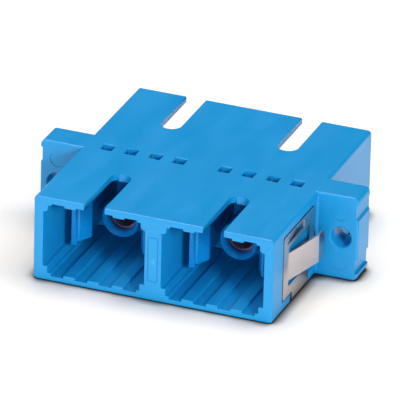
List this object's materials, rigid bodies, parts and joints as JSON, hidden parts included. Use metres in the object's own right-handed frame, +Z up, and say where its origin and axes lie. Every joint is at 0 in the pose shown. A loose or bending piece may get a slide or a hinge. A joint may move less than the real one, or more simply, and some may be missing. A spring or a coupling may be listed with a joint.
{
  "type": "flanged duplex fibre adapter",
  "caption": "Flanged duplex fibre adapter: open rectangular ports with key slots, latch arms around ferrule barrels, and a spring-steel panel clip.",
  "frame": {"origin": "under the middle of the body, in the plane of its flat underside, level with the middle of the flange's thickness", "axes": "+X across the ports towards the right ear, +Y through the adapter from the front ports to the rear ports, +Z up towards the key slots"},
  "size_m": [0.0344, 0.028, 0.0092],
  "materials": {
    "housing": "moulded blue thermoplastic, satin sheen",
    "latch_holder": "moulded blue thermoplastic, satin sheen",
    "sleeve": "phosphor bronze, smooth",
    "clip": "stainless spring steel, smooth rolled"
  },
  "bodies": {
    "root": {"front_housing": "housing", "rear_housing": "housing", "front_left_latch_holder": "latch_holder", "front_right_latch_holder": "latch_holder", "rear_left_latch_holder": "latch_holder", "rear_right_latch_holder": "latch_holder", "left_split_sleeve": "sleeve", "right_split_sleeve": "sleeve", "panel_clip": "clip"}
  },
  "joints": []
}
